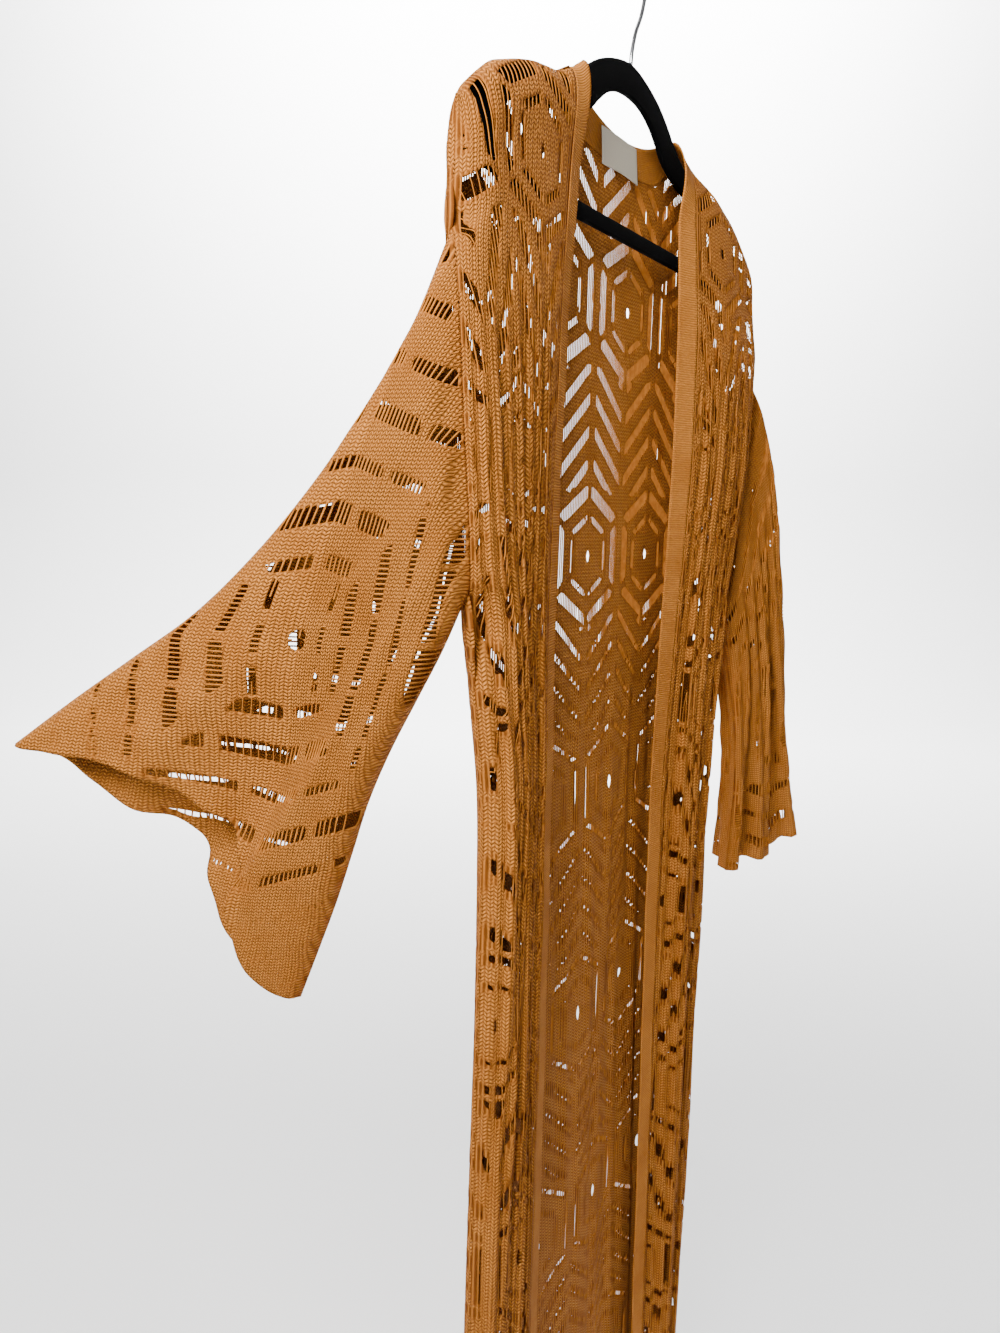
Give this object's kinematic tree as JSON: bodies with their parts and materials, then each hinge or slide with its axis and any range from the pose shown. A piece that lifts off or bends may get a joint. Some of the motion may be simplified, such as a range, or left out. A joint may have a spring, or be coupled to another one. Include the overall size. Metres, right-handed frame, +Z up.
{
  "type": "lace duster cardigan on a clothes hanger",
  "caption": "Long open-front cardigan in openwork knit with wide sleeves, hung on a flat flocked hanger with a wire hook.",
  "frame": {"origin": "inner top of the hook's loop, where it rests on the rail it hangs from", "axes": "+Z up, +X towards the wearer's left, -Y out of the garment's front"},
  "size_m": [0.7, 0.3849, 1.4203],
  "materials": {
    "ochre_lace": "matte openwork warp knit",
    "ochre_band": "matte fine ribbed knit",
    "woven_label": "matte woven tape",
    "black_flock": "flocked velvet",
    "chromed_wire": "polished"
  },
  "bodies": {
    "root": {"front_right": "ochre_lace", "front_left": "ochre_lace", "back": "ochre_lace", "sleeve_right_front": "ochre_lace", "sleeve_right_back": "ochre_lace", "sleeve_left_front": "ochre_lace", "sleeve_left_back": "ochre_lace", "band_right": "ochre_band", "band_left": "ochre_band", "band_neck": "ochre_band", "label": "woven_label", "hanger": "black_flock", "hook": "chromed_wire"}
  },
  "joints": []
}
